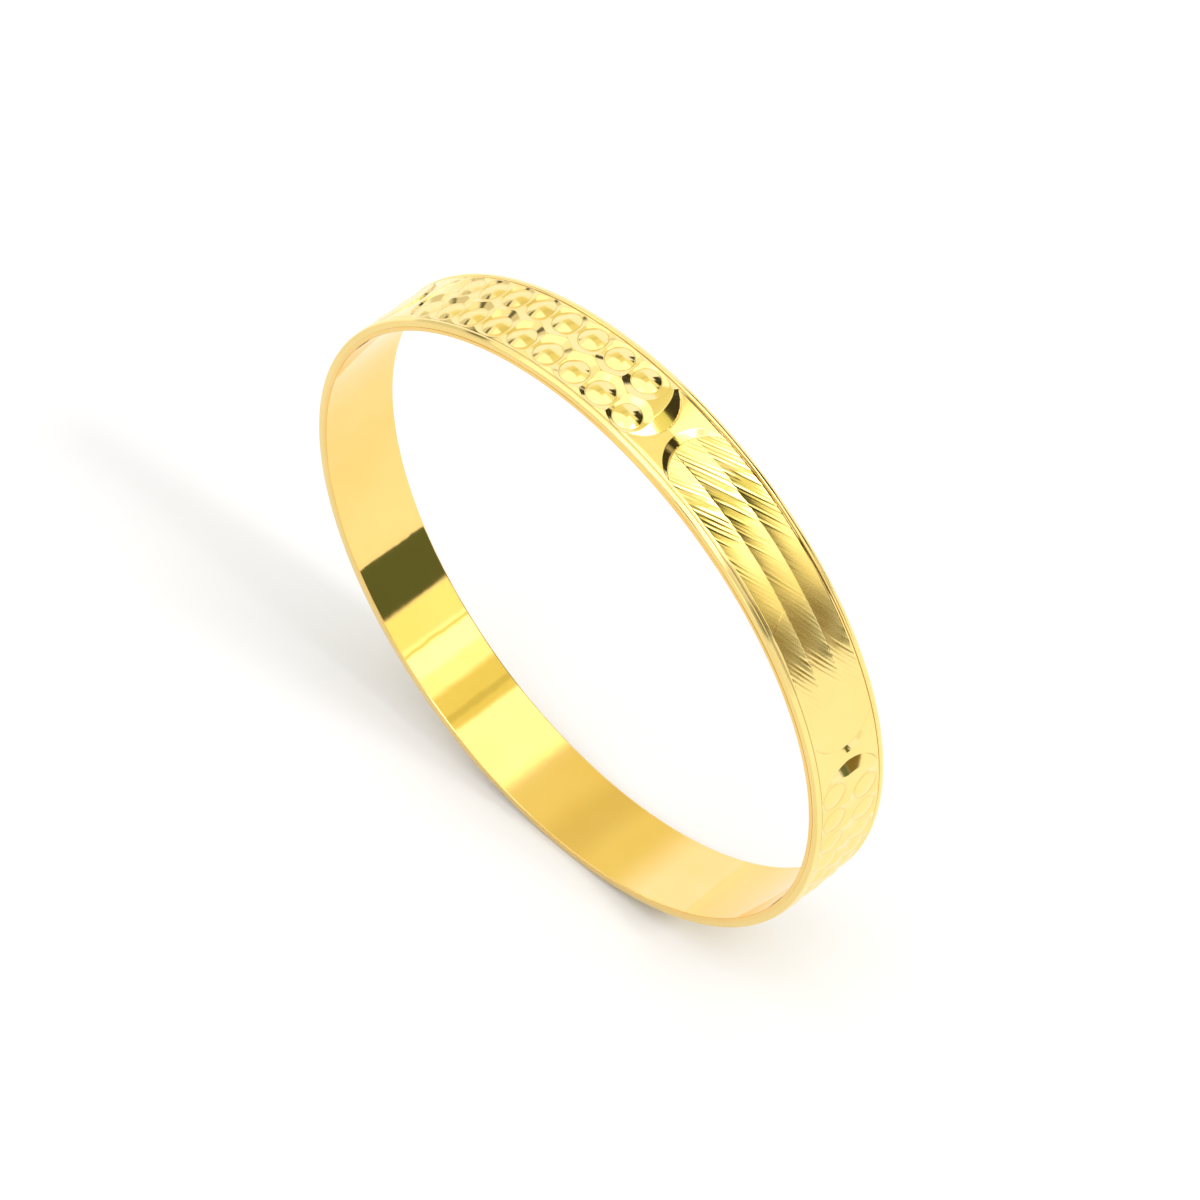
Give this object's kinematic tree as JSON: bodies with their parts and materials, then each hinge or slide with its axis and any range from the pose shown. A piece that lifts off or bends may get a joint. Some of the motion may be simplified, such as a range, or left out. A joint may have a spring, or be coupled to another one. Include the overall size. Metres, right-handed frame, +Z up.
{
  "type": "bangle bracelet",
  "caption": "Rigid closed bangle: a polished sleeve lines a diamond-cut band of beaded and brushed panels, with a plain wire along each edge.",
  "frame": {"origin": "centre of the wrist opening, midway across the band", "axes": "+Y along the bangle's axis, so that it stands like a wheel; +Z up; the front edge wire, with the longer row of bosses beside it, faces -Y"},
  "size_m": [0.0609, 0.008, 0.0609],
  "materials": {
    "sleeve_gold": "mirror-polished yellow gold plate",
    "band_gold": "diamond-cut yellow gold plate, satin-brushed panels and bright facets",
    "wire_gold": "polished yellow gold plate",
    "solder": "polished flush, gold-coloured hard solder"
  },
  "bodies": {
    "root": {"inner_sleeve": "sleeve_gold", "sleeve_seam": "solder", "patterned_band": "band_gold", "band_seam": "solder", "front_edge_wire": "wire_gold", "front_wire_seam": "solder", "back_edge_wire": "wire_gold", "back_wire_seam": "solder"}
  },
  "joints": []
}
